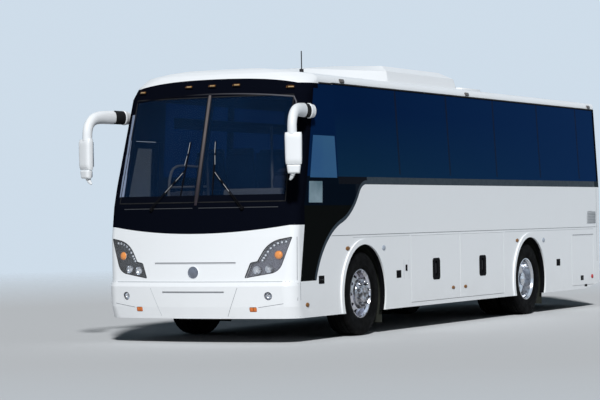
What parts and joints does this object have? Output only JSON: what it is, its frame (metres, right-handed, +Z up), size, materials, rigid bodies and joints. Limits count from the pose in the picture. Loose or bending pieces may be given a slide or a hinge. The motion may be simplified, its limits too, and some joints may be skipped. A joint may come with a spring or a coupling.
{
  "type": "two-axle coach bus",
  "caption": "White two-axle coach bus with black glazing, steered front wheels, twin rear wheels, entrance door, luggage flaps, service flaps and a lifting engine door.",
  "frame": {"origin": "on the ground, at the middle of the overall length and width", "axes": "+X forwards along the bus, +Y to its left, +Z up"},
  "size_m": [10.9339, 3.003, 3.5299],
  "materials": {
    "white_paint": "gloss white paint",
    "black_panel": "gloss black panel",
    "dark_glass": "dark tinted glass",
    "clear_glass": "lightly tinted glass",
    "lamp_lens": "clear lens",
    "amber_lens": "amber lens",
    "red_lens": "red lens",
    "alloy": "polished",
    "tyre_rubber": "matt",
    "frame_paint": "black chassis paint",
    "forged_steel": "oiled",
    "black_plastic": "matt black",
    "trim_plastic": "grained",
    "seat_cloth": "woven",
    "floor_vinyl": "flecked",
    "wiper_black": "matt black"
  },
  "bodies": {
    "root": {"front_bumper": "white_paint", "front_panel": "white_paint", "head_lamps": "lamp_lens", "windscreen_panes": "clear_glass", "windscreen_surround": "black_panel", "roof": "white_paint", "side_wall_left": "white_paint", "side_wall_right": "white_paint", "quarter_panels": "black_panel", "driver_window": "clear_glass", "window_glass": "dark_glass", "rear_wall": "white_paint", "rear_bumper": "white_paint", "tail_lamps": "red_lens", "floor": "floor_vinyl", "luggage_bay": "trim_plastic", "chassis_frame": "frame_paint", "wheel_housings": "black_plastic", "front_axle": "forged_steel", "rear_axle": "forged_steel", "engine": "forged_steel", "seats": "seat_cloth", "dashboard": "trim_plastic", "parcel_racks": "trim_plastic", "roof_pod": "white_paint", "antenna": "black_plastic", "mirrors": "white_paint", "wipers": "wiper_black", "marker_lamps": "amber_lens"},
    "knuckle_left": {"knuckle_left": "forged_steel"},
    "knuckle_right": {"knuckle_right": "forged_steel"},
    "tie_rod": {"tie_rod": "forged_steel"},
    "front_wheel_left": {"front_rim_left": "alloy", "front_tyre_left": "tyre_rubber"},
    "front_wheel_right": {"front_rim_right": "alloy", "front_tyre_right": "tyre_rubber"},
    "rear_wheels_left": {"rear_rims_left": "alloy", "rear_tyres_left": "tyre_rubber"},
    "rear_wheels_right": {"rear_rims_right": "alloy", "rear_tyres_right": "tyre_rubber"},
    "steering_wheel": {"steering_wheel": "black_plastic"},
    "door_arm": {"door_arm": "frame_paint"},
    "entrance_door": {"entrance_door": "black_panel", "entrance_door_glass": "dark_glass"},
    "engine_door": {"engine_door": "white_paint"},
    "luggage_flap_front_left": {"luggage_flap_front_left": "white_paint"},
    "luggage_flap_front_right": {"luggage_flap_front_right": "white_paint"},
    "luggage_flap_rear_left": {"luggage_flap_rear_left": "white_paint"},
    "luggage_flap_rear_right": {"luggage_flap_rear_right": "white_paint"},
    "service_flap_left": {"service_flap_left": "white_paint"},
    "service_flap_right": {"service_flap_right": "white_paint"}
  },
  "joints": [
    {"name": "steer_left", "type": "hinge", "parent": "root", "child": "knuckle_left", "pos_m": [3.287, 0.93, 0.515], "axis": [0, 0, 1], "range_deg": [-45, 45]},
    {"name": "steer_right", "type": "hinge", "parent": "root", "child": "knuckle_right", "pos_m": [3.287, -0.93, 0.515], "axis": [0, 0, 1], "range_deg": [-45, 45]},
    {"name": "tie_rod_turn", "type": "hinge", "parent": "knuckle_left", "child": "tie_rod", "pos_m": [3.107, 0.93, 0.411], "axis": [0, 0, 1], "range_deg": [-45, 45]},
    {"name": "steering_wheel_turn", "type": "hinge", "parent": "root", "child": "steering_wheel", "pos_m": [4.597, 0.7, 1.66], "axis": [-0.4202, 0, 0.9074], "range_deg": [-810, 810]},
    {"name": "front_left_spin", "type": "hinge", "parent": "knuckle_left", "child": "front_wheel_left", "pos_m": [3.287, 1.087, 0.515], "axis": [0, 1, 0], "continuous": true},
    {"name": "front_right_spin", "type": "hinge", "parent": "knuckle_right", "child": "front_wheel_right", "pos_m": [3.287, -1.087, 0.515], "axis": [0, 1, 0], "continuous": true},
    {"name": "rear_left_spin", "type": "hinge", "parent": "root", "child": "rear_wheels_left", "pos_m": [-2.313, 0.908, 0.515], "axis": [0, 1, 0], "continuous": true},
    {"name": "rear_right_spin", "type": "hinge", "parent": "root", "child": "rear_wheels_right", "pos_m": [-2.313, -0.908, 0.515], "axis": [0, 1, 0], "continuous": true},
    {"name": "entrance_arm_turn", "type": "hinge", "parent": "root", "child": "door_arm", "pos_m": [4.687, -1.12, 1.16], "axis": [0, 0, 1], "range_deg": [0, 115]},
    {"name": "entrance_door_turn", "type": "hinge", "parent": "door_arm", "child": "entrance_door", "pos_m": [4.257, -1.12, 1.16], "axis": [0, 0, 1], "range_deg": [-115, 0]},
    {"name": "engine_door_lift", "type": "hinge", "parent": "root", "child": "engine_door", "pos_m": [-5.463, 0, 1.764], "axis": [0, 1, 0], "range_deg": [0, 85]},
    {"name": "luggage_flap_front_left_lift", "type": "hinge", "parent": "root", "child": "luggage_flap_front_left", "pos_m": [1.0645, 1.265, 1.209], "axis": [1, 0, 0], "range_deg": [0, 100]},
    {"name": "luggage_flap_front_right_lift", "type": "hinge", "parent": "root", "child": "luggage_flap_front_right", "pos_m": [1.0645, -1.265, 1.209], "axis": [-1, 0, 0], "range_deg": [0, 100]},
    {"name": "luggage_flap_rear_left_lift", "type": "hinge", "parent": "root", "child": "luggage_flap_rear_left", "pos_m": [-0.533, 1.265, 1.209], "axis": [1, 0, 0], "range_deg": [0, 100]},
    {"name": "luggage_flap_rear_right_lift", "type": "hinge", "parent": "root", "child": "luggage_flap_rear_right", "pos_m": [-0.533, -1.265, 1.209], "axis": [-1, 0, 0], "range_deg": [0, 100]},
    {"name": "service_flap_left_lift", "type": "hinge", "parent": "root", "child": "service_flap_left", "pos_m": [-4.5705, 1.265, 1.114], "axis": [1, 0, 0], "range_deg": [0, 100]},
    {"name": "service_flap_right_lift", "type": "hinge", "parent": "root", "child": "service_flap_right", "pos_m": [-4.5705, -1.265, 1.114], "axis": [-1, 0, 0], "range_deg": [0, 100]}
  ],
  "couplings": [
    {"joint": "steer_right", "follows": "steer_left", "ratio": 1},
    {"joint": "tie_rod_turn", "follows": "steer_left", "ratio": -1},
    {"joint": "steering_wheel_turn", "follows": "steer_left", "ratio": 18},
    {"joint": "entrance_door_turn", "follows": "entrance_arm_turn", "ratio": -1}
  ]
}
